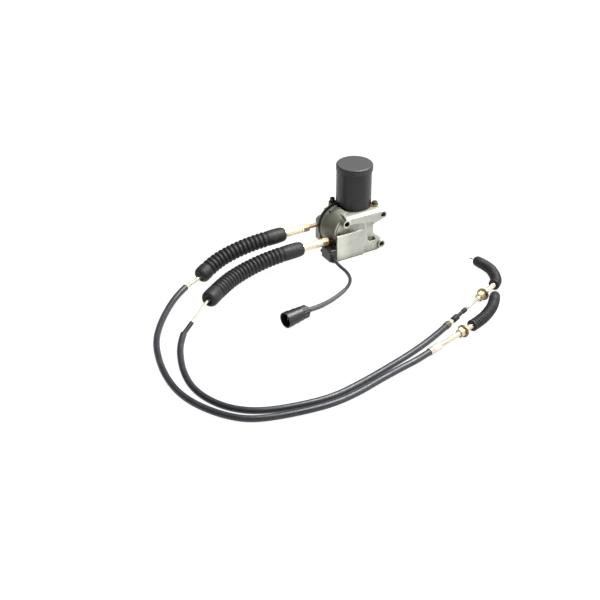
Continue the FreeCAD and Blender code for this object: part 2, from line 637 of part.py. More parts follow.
# ---------------------------------------------------------------- near ends of the cables
def near_end(cable, thread_in):
    """The straight fittings of one cable beside the case: adjuster, lock nut and sleeve."""
    def at(x):
        return V(x, cable["y"], cable["z"])
    nut_end = cable["nut"] - NUT_LENGTH
    adjuster = tube(ADJUSTER_R, BORE_R, at(nut_end - 7.0), at(thread_in))
    nut = hexagon(13.0, at(nut_end), X, NUT_LENGTH)
    nut = nut.cut(rod(ADJUSTER_R, at(nut_end - 1), at(cable["nut"] + 1)))
    sleeve = tube(SLEEVE_R, BORE_R, at(cable["boot"] - SOCKET), at(nut_end))
    sleeve = sleeve.cut(rod(ADJUSTER_R, at(nut_end - 7.0), at(nut_end + 1)))
    return adjuster, nut, sleeve


def near_boot(name, cable):
    route = BOOT_ROUTES[name]
    boot = sweep_tube(route, BOOT_R)
    boot = boot.cut(rod(SLEEVE_R, V(cable["boot"] + 1, cable["y"], cable["z"]),
                        V(cable["boot"] - SOCKET, cable["y"], cable["z"])))
    start = V(*route[-1])
    back = (V(*route[-2]) - start).normalize()
    return boot.cut(rod(GUIDE_R[name], start - back, start + back * SOCKET))


def guide_tube(name):
    """The thin metal tube between a boot and its conduit."""
    route = BOOT_ROUTES[name]
    last = V(*route[-1])
    back = (V(*route[-2]) - last).normalize()
    end = V(*GUIDE_ENDS[name])
    return sweep_tube([tuple(last + back * SOCKET), tuple(last - back * 4.0), tuple(end)], GUIDE_R[name])


def guide_neck():
    """The rubber neck over the outer stretch of the lower guide tube."""
    start, end = V(*BOOT_ROUTES["lower"][-1]), V(*GUIDE_ENDS["lower"])
    back = (V(*BOOT_ROUTES["lower"][-2]) - start).normalize()
    along = (end - (start - back * 4.0)).normalize()
    return tube(NECK_R, GUIDE_R["lower"], end - along * NECK_LENGTH, end)


def wire_run(cable):
    """The straight wire from just before its pulley's tangent point into the sleeve."""
    return rod(WIRE_R, V(cable["wire_end"], cable["y"], cable["z"]), V(AXLE_X - 3.0, cable["y"], cable["z"]))


# ---------------------------------------------------------------- far ends of the cables
def far_axis(name):
    far = FAR[name]
    return far["start"], V(*polar(1.0, far["heading"]), 0)


def far_piece(name, *steps):
    """Coaxial cylinders on the far axis, each given as (radius, from, to)."""
    start, along = far_axis(name)
    rods = [rod(radius, start + along * a, start + along * b) for radius, a, b in steps]
    return union(*rods) if len(rods) > 1 else rods[0]


def far_ferrule(name):
    """The crimp that grips the conduit's end and the adjuster's tail."""
    length, radius = FAR[name]["ferrule"], FAR[name]["ferrule_r"]
    shell = far_piece(name, (radius, 0.0, length - 2.0), (THREAD_R + 0.9, length - 3.0, length))
    for at in (2.0, 5.5):
        groove = far_piece(name, (radius + 1.0, at, at + 1.2))
        shell = shell.cut(groove.cut(far_piece(name, (radius - 0.5, at - 1, at + 3))))
    return shell.cut(far_piece(name, (THREAD_R, length - 4.0, length + 1.0)))


def far_adjuster(name):
    far = FAR[name]
    tail = far["ferrule"] - 4.0
    end = far["boot_at"] + FAR_SOCKET
    if name == "upper":
        return far_piece(name, (THREAD_R, tail, end))
    return far_piece(name, (THREAD_R, tail, 17.0), (2.0, 16.0, 66.0), (2.6, 62.0, 98.0),
                     (THREAD_R, 97.0, end))


def far_seal():
    """A rubber seal with a bulb at each end of a thin neck."""
    solid = far_piece("lower", (4.9, 23.0, 34.5), (4.0, 21.5, 36.0), (2.8, 35.0, 53.0), (3.6, 52.0, 60.5))
    return solid.cut(far_piece("lower", (2.0, 15.0, 61.0)))


def far_nut(name):
    """A hexagon nut with a broad flange, on the adjuster's thread."""
    at = FAR[name]["nut_at"]
    end = at + FAR[name]["nut_length"]
    start, along = far_axis(name)
    nut = hexagon(13.0, start + along * at, along, end - at)
    flange = far_piece(name, (FLANGE_R, end - 1.0, end + 1.0))
    return union(nut, flange).cut(far_piece(name, (THREAD_R, at - 1, end + 3)))


def far_boot_route(name):
    start, along = far_axis(name)
    return [tuple(start + along * FAR[name]["boot_at"])] + FAR_BOOT_BENDS[name]


def tip_axis(name):
    """The mouth of a far boot and the direction in which its wire leaves."""
    route = far_boot_route(name)
    mouth = V(*route[-1])
    return mouth, (mouth - V(*route[-2])).normalize()


def far_boot(name):
    at = FAR[name]["boot_at"]
    boot = sweep_tube(far_boot_route(name), FAR_BOOT_R)
    boot = boot.cut(far_piece(name, (THREAD_R, at - 1, at + FAR_SOCKET)))
    mouth, out = tip_axis(name)
    return boot.cut(rod(TIP_BORE_R, mouth - out * TIP_BORE, mouth + out * 2.0))


def wire_tip(name):
    """The wire's end with its ball, which moves in and out of the far boot's mouth."""
    mouth, out = tip_axis(name)
    ball_at = mouth + out * TIP_OUT[name]
    ball = Part.makeSphere(BALL_R, ball_at)
    wire = rod(WIRE_R, mouth - out * (TIP_INSIDE - min(TIP_OUT[name], 0.0)), ball_at)
    return wire.fuse(ball)


# ---------------------------------------------------------------- electrical
def lead_grommet():
    flange = disc_y(5.4, -63.0, 6.5, -42.0, -40.0)
    plug = disc_y(4.0, -63.0, 6.5, -40.5, -37.5)
    taper = Part.makeCone(3.4, 4.4, 4.5, V(-63.0, -46.5, 6.5), Y)
    return union(flange, plug, taper)


def plug_piece(*steps):
    """Coaxial cylinders on the connector's axis, each given as (radius, from, to)."""
    rods = [rod(radius, PLUG_AT + PLUG_AXIS * a, PLUG_AT + PLUG_AXIS * b) for radius, a, b in steps]
    return union(*rods) if len(rods) > 1 else rods[0]


def plug_ring(radius, count, hole_r, a, b):
    """Small cylinders evenly spaced round the connector's axis."""
    side = V(0, 0, 1)
    other = PLUG_AXIS.cross(side)
    pieces = []
    for i in range(count):
        u, v = polar(radius, 45.0 + i * 360.0 / count)
        at = PLUG_AT + side * u + other * v
        pieces.append(rod(hole_r, at + PLUG_AXIS * a, at + PLUG_AXIS * b))
    return pieces


def connector_shell():
    shell = plug_piece((6.0, 0.0, 5.0), (9.2, 4.0, 17.0), (11.3, 16.0, 26.0), (12.0, 25.0, 38.0),
                       (12.8, 37.0, 46.0))
    return shell.cut(plug_piece((10.9, 30.0, 47.0)))


def connector_collar():
    ring = plug_piece((10.7, 5.5, 15.0)).cut(plug_piece((9.2, 4.0, 16.0)))
    for cut in plug_ring(11.1, 14, 0.9, 4.0, 17.0):
        ring = ring.cut(cut)
    return ring


def connector_insert():
    insert = plug_piece((10.9, 30.0, 32.0), (6.0, 31.0, 34.0))
    for hole in plug_ring(3.2, 4, 0.9, 30.5, 35.0):
        insert = insert.cut(hole)
    return insert


def connector_pins():
    return plug_ring(3.2, 4, 0.9, 30.5, 39.5)


# ---------------------------------------------------------------- output
def write(name, shape):
    if isinstance(shape, list):
        shape = Part.makeCompound(shape)
    solids = shape.Solids
    if not solids or not shape.isValid():
        print("BAD", name, len(solids), shape.isValid())
    shape = solids[0] if len(solids) == 1 else Part.makeCompound(solids)
    shape.exportStep(os.path.join("parts", name + ".step"))
    print(name, "solids", len(solids), "volume", round(shape.Volume, 1))


def main():
    os.makedirs("parts", exist_ok=True)
    write("gear_case", gear_case())
    write("case_gasket", case_gasket())
    write("rear_cover", rear_cover())
    write("cover_screws", cover_screws())
    write("end_cover", end_cover())
    write("end_cover_screws", end_cover_screws())
    write("motor_flange", motor_flange())
    write("motor_screws", motor_screws())
    write("motor_can", motor_can())
    write("motor_cap", motor_cap())
    write("magnets", magnets())
    write("brush_card", brush_card())
    write("brushes", brushes())
    write("brush_springs", brush_springs())
    write("upper_bush", upper_bush())
    write("lower_bearing", lower_bearing())
    write("armature_shaft", armature_shaft())
    write("armature_core", armature_core())
    write("windings", windings())
    write("commutator", commutator())
    write("worm", worm())
    write("worm_wheel", worm_wheel())
    write("output_shaft", output_shaft())
    write("rear_pulley", pulley(UPPER["y"], 1.0, WHEEL_HALF_T + 0.2).cut(nipple(UPPER["y"], 1.0, True)))
    write("front_pulley", pulley(LOWER["y"], -1.0, -WHEEL_HALF_T - 0.2).cut(nipple(LOWER["y"], -1.0, False)))
    write("wire_wrap_upper", wire_wrap(UPPER["y"], 1.0, True))
    write("wire_wrap_lower", wire_wrap(LOWER["y"], -1.0, False))
    write("shaft_bushes", shaft_bushes())
    write("position_sensor", position_sensor())
    lock_nuts = []
    for name, cable, thread_in in (("upper", UPPER, -53.0), ("lower", LOWER, -43.5)):
        adjuster, nut, sleeve = near_end(cable, thread_in)
        lock_nuts.append(nut)
        write("adjuster_" + name, adjuster)
        write("sleeve_" + name, sleeve)
        write("near_boot_" + name, near_boot(name, cable))
        write("guide_tube_" + name, guide_tube(name))
        write("conduit_" + name, sweep_tube(CONDUIT_ROUTES[name], CORD_R, "conduit_" + name))
        write("wire_run_" + name, wire_run(cable))
        write("far_ferrule_" + name, far_ferrule(name))
        write("far_adjuster_" + name, far_adjuster(name))
        write("far_nut_" + name, far_nut(name))
        write("far_boot_" + name, far_boot(name))
        write("wire_tip_" + name, wire_tip(name))
        print("wire tip", name, [round(c, 5) for c in tip_axis(name)[1]])
    write("lock_nuts", lock_nuts)
    write("guide_neck", guide_neck())
    write("far_seal", far_seal())
    write("lead_grommet", lead_grommet())
    write("lead", sweep_tube(LEAD_ROUTE, LEAD_R, "lead"))
    write("connector_shell", connector_shell())
    write("connector_collar", connector_collar())
    write("connector_insert", connector_insert())
    write("connector_pins", connector_pins())


if __name__ == "__main__":
    main()
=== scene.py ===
import json
import math

import bmesh
import bpy
import numpy as np
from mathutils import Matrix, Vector


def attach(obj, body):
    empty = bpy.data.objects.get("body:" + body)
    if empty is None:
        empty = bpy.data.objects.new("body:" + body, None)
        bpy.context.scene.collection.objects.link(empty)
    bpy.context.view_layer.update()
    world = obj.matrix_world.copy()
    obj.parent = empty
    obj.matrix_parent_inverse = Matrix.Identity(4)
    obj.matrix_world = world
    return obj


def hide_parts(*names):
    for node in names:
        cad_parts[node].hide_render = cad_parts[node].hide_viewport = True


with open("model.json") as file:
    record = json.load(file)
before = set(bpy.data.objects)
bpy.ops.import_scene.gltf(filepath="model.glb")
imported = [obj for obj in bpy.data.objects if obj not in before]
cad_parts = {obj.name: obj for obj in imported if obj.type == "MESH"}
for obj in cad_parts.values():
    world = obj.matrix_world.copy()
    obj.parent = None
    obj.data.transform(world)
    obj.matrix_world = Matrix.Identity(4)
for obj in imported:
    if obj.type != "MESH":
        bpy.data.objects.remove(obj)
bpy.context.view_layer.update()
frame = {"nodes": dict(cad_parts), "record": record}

# The looks of a governor actuator: a motor on a cast gear case, two sheathed cables and an electrical lead.
# The scene is in metres, in the frame of the CAD model. Routes, radii and profiles below are in millimetres
# and go through MM; the camera, the lights, the stage and the sizes in the finishes are in metres.

MM = 0.001
NODES = frame["nodes"]
SLOT_OF = {part["node"]: part["material_slot"] for part in frame["record"]["subparts"]}


# ---------------------------------------------------------------- camera
CAMERA_AT = Vector((-1.1065, -1.7117, 1.1234))
CAMERA_BACK = Vector((-0.4323, -0.7377, 0.5186))
LENS = 82.07
SENSOR = 36.0
CLIP_NEAR = 0.05
CLIP_FAR = 50.0


def add_camera():
    data = bpy.data.cameras.new("camera")
    data.lens = LENS
    data.sensor_width = SENSOR
    data.clip_start = CLIP_NEAR
    data.clip_end = CLIP_FAR
    camera = bpy.data.objects.new("camera", data)
    bpy.context.scene.collection.objects.link(camera)
    camera.location = CAMERA_AT
    camera.rotation_mode = "QUATERNION"
    camera.rotation_quaternion = (-CAMERA_BACK).to_track_quat("-Z", "Y")
    bpy.context.scene.camera = camera


# ---------------------------------------------------------------- routes, in millimetres
CONDUITS = {
    "upper": [(-317, -4.5, 11.8), (-335, -13.5, 8.8), (-363, -37.5, 6.1), (-396, -75, 5.1), (-422, -115, 5.1),
              (-438, -158, 5.1), (-448.5, -202, 5.1), (-451.5, -243, 5.1), (-447, -276, 5.1),
              (-436, -306, 5.1), (-420, -334, 5.1), (-398, -357.5, 5.1), (-368, -370.5, 5.1),
              (-322, -381, 5.1), (-274, -386.5, 5.1), (-228, -380.5, 5.1), (-187, -370, 5.4),
              (-142, -362.3, 7.2), (-113.8, -359.6, 9.5), (-88.7, -352.65, 10.1)],
    "lower": [(-378.6, -121.7, 8), (-393, -140, 6), (-409, -172, 5.1), (-423, -212, 5.1),
              (-429, -254, 5.1), (-421.5, -294, 5.1), (-402, -328, 5.1), (-371, -351.5, 5.1),
              (-322, -365.5, 5.1), (-268, -372.5, 5.1), (-212, -362.5, 5.1), (-156, -348.5, 5.1),
              (-105, -335.5, 6.3), (-57.8, -321.1, 9.4), (-26.5, -307, 10.1)],
}
CONDUIT_D = 10.0
LEAD = [(-63, -46.5, 6.5), (-63.5, -60, 4.7), (-62.5, -81, 4.2), (-68.5, -103, 4.2), (-83, -121, 4.2),
        (-104, -134, 4.4), (-125, -144, 5), (-146, -152.8, 6.8), (-166, -160.6, 10), (-185, -164.5, 13)]
LEAD_D = 5.5

NEAR_BOOTS = {
    "upper": [(-126, 12, 48.5), (-156, 12, 48.5), (-199, 15.5, 43.8), (-240, 16, 34.3), (-268, 9.5, 26.5),
              (-289, 0.8, 19.5)],
    "lower": [(-110, -19, 31.5), (-140, -19, 31.5), (-181, -17.3, 27.3), (-221, -20, 20.8), (-262, -33, 16.5),
              (-307, -63, 14.3)],
}
SLEEVE_R = 6.5
GUIDE_R = {"upper": 3.0, "lower": 2.2}

FAR_Z = 10.1
THREAD_R = 4.0
FAR_SOCKET = 8.0
FAR = {
    "upper": {"start": (-88.7, -352.65, FAR_Z), "heading": 15.5, "boot_at": 101.0,
              "bends": [(32, -319.1, 10), (56, -306, 9.8), (78, -290.5, 9.7), (96.6, -268.5, 9.6)]},
    "lower": {"start": (-26.5, -307, FAR_Z), "heading": 24.3, "boot_at": 152.0,
              "bends": [(121.8, -240.0, 10), (134, -218.5, 9.8), (141.5, -192, 9.7), (135, -163.5, 9.6)]},
}
TIP_BORE_R = 2.8
TIP_ROOM_R = 5.6         # a far boot is wider inside, where the straight wire crosses its bend
TIP_BORE = 29.0
# A thread piece that ends by here goes on its cable's list of pieces; the rest of a long thread is its own
# piece.
ON_CORD = 149.3

CURVE_STEPS = 12         # points on a smooth curve between two of its control points
CORD_SIDES = 7
CURVE_ORDER = 3
SAME_PLACE = 1e-7        # points closer than this, in metres, count as one


def nurbs_curve(name, points, bevel=0.0):
    """A smooth open curve with these points, in millimetres, as its control points."""
    data = bpy.data.curves.new(name, "CURVE")
    data.dimensions = "3D"
    data.resolution_u = CURVE_STEPS
    data.bevel_depth = bevel * MM
    data.bevel_resolution = CORD_SIDES
    data.use_fill_caps = bevel > 0
    spline = data.splines.new("NURBS")
    spline.points.add(len(points) - 1)
    for point, place in zip(spline.points, points):
        point.co = (place[0] * MM, place[1] * MM, place[2] * MM, 1.0)
    spline.order_u = CURVE_ORDER
    spline.use_endpoint_u = True
    piece = bpy.data.objects.new(name, data)
    bpy.context.scene.collection.objects.link(piece)
    return piece


def route_line(points):
    """Close-set points, in metres, on the smooth curve of a route."""
    bare = nurbs_curve("bare_route", points)
    mesh = bpy.data.meshes.new_from_object(bare)
    line = np.array([v.co for v in mesh.vertices], float).reshape(-1, 3)
    bpy.data.meshes.remove(mesh)
    curve = bare.data
    bpy.data.objects.remove(bare)
    bpy.data.curves.remove(curve)
    return line


# ---------------------------------------------------------------- mesh helpers
def new_piece(name, vertices, faces, smooth=True):
    mesh = bpy.data.meshes.new(name)
    mesh.from_pydata([tuple(v) for v in vertices], [], faces)
    mesh.validate()
    mesh.update()
    if smooth:
        mesh.shade_smooth()
    piece = bpy.data.objects.new(name, mesh)
    bpy.context.scene.collection.objects.link(piece)
    return piece


class Track:
    """A centreline with a frame that doesn't twist, read at any distance along it."""

    def __init__(self, line):
        steps = np.linalg.norm(np.diff(line, axis=0), axis=1)
        keep = np.concatenate([[True], steps > SAME_PLACE])
        self.line = line[keep]
        self.at = np.concatenate([[0.0], np.cumsum(np.linalg.norm(np.diff(self.line, axis=0), axis=1))])
        self.length = float(self.at[-1])
        tangents = np.gradient(self.line, self.at, axis=0)
        self.tangents = tangents / np.linalg.norm(tangents, axis=1)[:, None]
        side = np.cross(self.tangents[0], (0.0, 0.0, 1.0))
        sides = [side / np.linalg.norm(side)]
        for tangent in self.tangents[1:]:
            side = sides[-1] - tangent * (sides[-1] @ tangent)
            sides.append(side / np.linalg.norm(side))
        self.sides = np.array(sides)

    def frame(self, distance):
        """The centre, side and up vectors at a distance in metres, which may lie past either end."""
        inside = min(max(distance, 0.0), self.length)
        centre, tangent, side = (np.array([np.interp(inside, self.at, table[:, k]) for k in range(3)])
                                 for table in (self.line, self.tangents, self.sides))
        tangent /= np.linalg.norm(tangent)
        centre = centre + tangent * (distance - inside)
        side = side - tangent * (side @ tangent)
        side /= np.linalg.norm(side)
        return centre, side, np.cross(side, tangent)


def straight_track(start, direction, length):
    start, direction = np.array(start, float), np.array(direction, float)
    direction /= np.linalg.norm(direction)
    return Track(np.array([start + direction * length * t for t in (0.0, 0.5, 1.0)]) * MM)


def turned(name, track, profile, segments):
    """A surface turned about a track and closed with a point at each end. The profile lists each distance
    and radius in millimetres, and a radius may be a function of the angle."""
    vertices, faces = [], []
    angles = np.arange(segments) * 2 * math.pi / segments
    for distance, radius in profile:
        centre, side, up = track.frame(distance * MM)
        radii = np.array([radius(a) for a in angles]) if callable(radius) else np.full(segments, radius)
        around = np.cos(angles)[:, None] * side + np.sin(angles)[:, None] * up
        vertices.extend(centre + around * (radii * MM)[:, None])
    count = len(profile)
    for i in range(count - 1):
        for j in range(segments):
            k = (j + 1) % segments
            faces.append((i * segments + j, i * segments + k, (i + 1) * segments + k, (i + 1) * segments + j))
    for i, order in ((0, -1), (count - 1, 1)):
        vertices.append(track.frame(profile[i][0] * MM)[0])
        hub = len(vertices) - 1
        for j in range(segments):
            k = (j + 1) % segments
            corner = (hub, i * segments + j, i * segments + k)
            faces.append(corner if order > 0 else corner[::-1])
    piece = new_piece(name, vertices, faces)
    shell = bmesh.new()
    shell.from_mesh(piece.data)
    bmesh.ops.recalc_face_normals(shell, faces=shell.faces)
    shell.to_mesh(piece.data)
    shell.free()
    return piece


def curve_between(start, end, bulge, count):
    """Profile points on a quarter ellipse, which leaves start along the radius and meets end along the axis.
    A bulge over 1 makes its shoulder squarer."""
    points = []
    for i in range(count + 1):
        angle = math.pi / 2 * i / count
        points.append((start[0] + (end[0] - start[0]) * (1 - math.cos(angle)) ** bulge,
                       start[1] + (end[1] - start[1]) * math.sin(angle)))
    return points


FOLD_STEPS = 12
FOLD_ROUNDNESS = 0.65    # below 1 the crests are broad and the valleys narrow


def bellows(start, end, crests, depth, pitch):
    """Profile points of round folds from one distance to another, with a valley at both ends. The crest's
    radius goes evenly from the first value to the second."""
    folds = max(1, round((end - start) / pitch))
    points = []
    for i in range(folds * FOLD_STEPS + 1):
        part = i / (folds * FOLD_STEPS)
        wave = abs(math.sin(math.pi * i / FOLD_STEPS)) ** FOLD_ROUNDNESS
        crest = crests[0] + (crests[1] - crests[0]) * part
        points.append((start + (end - start) * part, crest - depth * (1.0 - wave)))
    return points


# ---------------------------------------------------------------- materials
def srgb(*values):
    """Linear light from an everyday 0 to 255 colour."""
    return tuple(((v / 255 + 0.055) / 1.055) ** 2.4 if v > 10 else v / 255 / 12.92 for v in values) + (1.0,)


# The sockets of a Mix node in its colour mode, which share their names with its other modes.
MIX_FACTOR, MIX_FIRST, MIX_SECOND = 0, 6, 7
MIX_RESULT = 2


class Nodes:
    """A small helper that adds nodes and links by name."""

    def __init__(self, name):
        self.material = bpy.data.materials.new(name)
        self.material.use_nodes = True
        self.tree = self.material.node_tree
        self.tree.nodes.clear()
        self.output = self.add("ShaderNodeOutputMaterial")
        self.shader = self.add("ShaderNodeBsdfPrincipled")
        self.link(self.shader, "BSDF", self.output, "Surface")
        self.coordinates = self.add("ShaderNodeTexCoord")

    def add(self, kind, **settings):
        node = self.tree.nodes.new(kind)
        for key, value in settings.items():
            setattr(node, key, value)
        return node

    def link(self, source, output, target, socket):
        self.tree.links.new(source.outputs[output], target.inputs[socket])

    def noise(self, size, detail=3.0, roughness=0.55, stretch=(1.0, 1.0, 1.0)):
        """Noise whose blots are about this size in metres."""
        mapping = self.add("ShaderNodeMapping")
        mapping.inputs["Scale"].default_value = stretch
        self.link(self.coordinates, "Object", mapping, "Vector")
        node = self.add("ShaderNodeTexNoise")
        node.inputs["Scale"].default_value = 1.0 / size
        node.inputs["Detail"].default_value = detail
        node.inputs["Roughness"].default_value = roughness
        self.link(mapping, "Vector", node, "Vector")
        return node

    def span(self, source, output, low, high, to_low=0.0, to_high=1.0):
        node = self.add("ShaderNodeMapRange")
        node.inputs["From Min"].default_value = low
        node.inputs["From Max"].default_value = high
        node.inputs["To Min"].default_value = to_low
        node.inputs["To Max"].default_value = to_high
        self.link(source, output, node, "Value")
        return node

    def facing(self, direction):
        """How far the surface faces a direction, from -1 to 1."""
        geometry = self.add("ShaderNodeNewGeometry")
        dot = self.add("ShaderNodeVectorMath", operation="DOT_PRODUCT")
        self.link(geometry, "Normal", dot, 0)
        dot.inputs[1].default_value = direction
        return dot, "Value"

    def place(self, axis):
        """The place in metres along the X, Y or Z axis."""
        split = self.add("ShaderNodeSeparateXYZ")
        self.link(self.coordinates, "Object", split, "Vector")
        return split, axis

    def from_axis(self, start, direction):
        """The distance in metres from an axis through a point."""
        offset = self.add("ShaderNodeVectorMath", operation="SUBTRACT")
        self.link(self.coordinates, "Object", offset, 0)
        offset.inputs[1].default_value = start
        cross = self.add("ShaderNodeVectorMath", operation="CROSS_PRODUCT")
        self.link(offset, "Vector", cross, 0)
        cross.inputs[1].default_value = direction
        length = self.add("ShaderNodeVectorMath", operation="LENGTH")
        self.link(cross, "Vector", length, 0)
        return length, "Value"

    def mix(self, factor, factor_output, first, second):
        """A colour mix; first and second are colours, or (node, output) pairs."""
        node = self.add("ShaderNodeMix", data_type="RGBA")
        self.link(factor, factor_output, node, MIX_FACTOR)
        for socket, value in ((MIX_FIRST, first), (MIX_SECOND, second)):
            if isinstance(value[0], float):
                node.inputs[socket].default_value = value
            else:
                self.tree.links.new(value[0].outputs[value[1]], node.inputs[socket])
        return node


def shade(colour, factor):
    return tuple(min(1.0, c * factor) for c in colour[:3]) + (1.0,)


# Each pair is where a measure starts to count and where it counts in full.
BLOTS = (0.32, 0.68)             # values of a noise
PATCHES = (0.55, 0.72)
SCRATCHES = (0.42, 0.60)
DULL = (0.3, 0.7)
RIM = (0.985, 0.90)              # how far a softened normal still agrees with the true one, near an edge
HOLLOW = (0.80, 0.40)            # how open the surroundings are, for the painted shade in crevices
HOLLOW_REACH = 0.020
SCRATCH_SIZE = 0.0022
PATCH_SIZE, DULL_SIZE = 2.3, 0.6         # in blot sizes
RIM_WIDTH = 2.2                          # in edge radii
DULL_BY = 0.07
LEAST_ROUGHNESS = 0.02
EDGE_SAMPLES, HOLLOW_SAMPLES = 4, 6
EVEN = (1.0, 1.0, 1.0)


def surface(name, colour, roughness, blot, contrast, grain, relief, metallic=0.0, edge=0.00035, worn=None,
            wear=0.5, dirt=None, specular=0.5, coat=0.0, brushed=EVEN, crevice_shade=None, zones=()):
    """A finished surface: blotched colour, grainy relief, soft edges, worn edges, dirt in patches and painted
    shade in crevices.
    Each zone is (a function that adds its measure, where it starts, where it is full, its colour); a zone may
    paint light or shade."""
    n = Nodes(name)
    spread = n.span(n.noise(blot, detail=5.0, roughness=0.6), "Fac", *BLOTS)
    tone = n.mix(spread, "Result", shade(colour, 1.0 - contrast), shade(colour, 1.0 + contrast))
    if dirt:
        where = n.span(n.noise(blot * PATCH_SIZE, detail=6.0, roughness=0.7), "Fac", *PATCHES)
        tone = n.mix(where, "Result", (tone, MIX_RESULT), dirt)
    # Zones paint stains, and also painted light and shade where a finish's comment says so.
    for measure, start, full, stain_and_painted_light in zones:
        within = n.span(*measure(n), start, full)
        tone = n.mix(within, "Result", (tone, MIX_RESULT), stain_and_painted_light)
    if worn:
        geometry = n.add("ShaderNodeNewGeometry")
        wide = n.add("ShaderNodeBevel", samples=EDGE_SAMPLES)
        wide.inputs["Radius"].default_value = edge * RIM_WIDTH
        dot = n.add("ShaderNodeVectorMath", operation="DOT_PRODUCT")
        n.link(wide, "Normal", dot, 0)
        n.link(geometry, "Normal", dot, 1)
        rim = n.span(dot, "Value", *RIM)
        scratches = n.noise(SCRATCH_SIZE, detail=4.0, roughness=0.7)
        broken = n.span(scratches, "Fac", *SCRATCHES, 0.0, wear)
        both = n.add("ShaderNodeMath", operation="MULTIPLY")
        n.link(rim, "Result", both, 0)
        n.link(broken, "Result", both, 1)
        tone = n.mix(both, "Value", (tone, MIX_RESULT), worn)
    # Painted shade: the crevice_shade colour darkens hollows and recesses through ambient occlusion.
    if crevice_shade:
        hollow = n.add("ShaderNodeAmbientOcclusion", samples=HOLLOW_SAMPLES)
        hollow.inputs["Distance"].default_value = HOLLOW_REACH
        tone = n.mix(n.span(hollow, "AO", *HOLLOW), "Result", (tone, MIX_RESULT), crevice_shade)
    n.link(tone, MIX_RESULT, n.shader, "Base Color")
    n.shader.inputs["Metallic"].default_value = metallic
    n.shader.inputs["Specular IOR Level"].default_value = specular
    n.shader.inputs["Coat Weight"].default_value = coat
    dull = n.span(n.noise(blot * DULL_SIZE, detail=4.0), "Fac", *DULL,
                  max(LEAST_ROUGHNESS, roughness - DULL_BY), min(1.0, roughness + DULL_BY))
    n.link(dull, "Result", n.shader, "Roughness")
    bevel = n.add("ShaderNodeBevel", samples=EDGE_SAMPLES)
    bevel.inputs["Radius"].default_value = edge
    bump = n.add("ShaderNodeBump")
    bump.inputs["Strength"].default_value = 1.0
    bump.inputs["Distance"].default_value = relief
    n.link(n.noise(grain, roughness=0.6, stretch=brushed), "Fac", bump, "Height")
    n.link(bevel, "Normal", bump, "Normal")
    n.link(bump, "Normal", n.shader, "Normal")
    return n.material


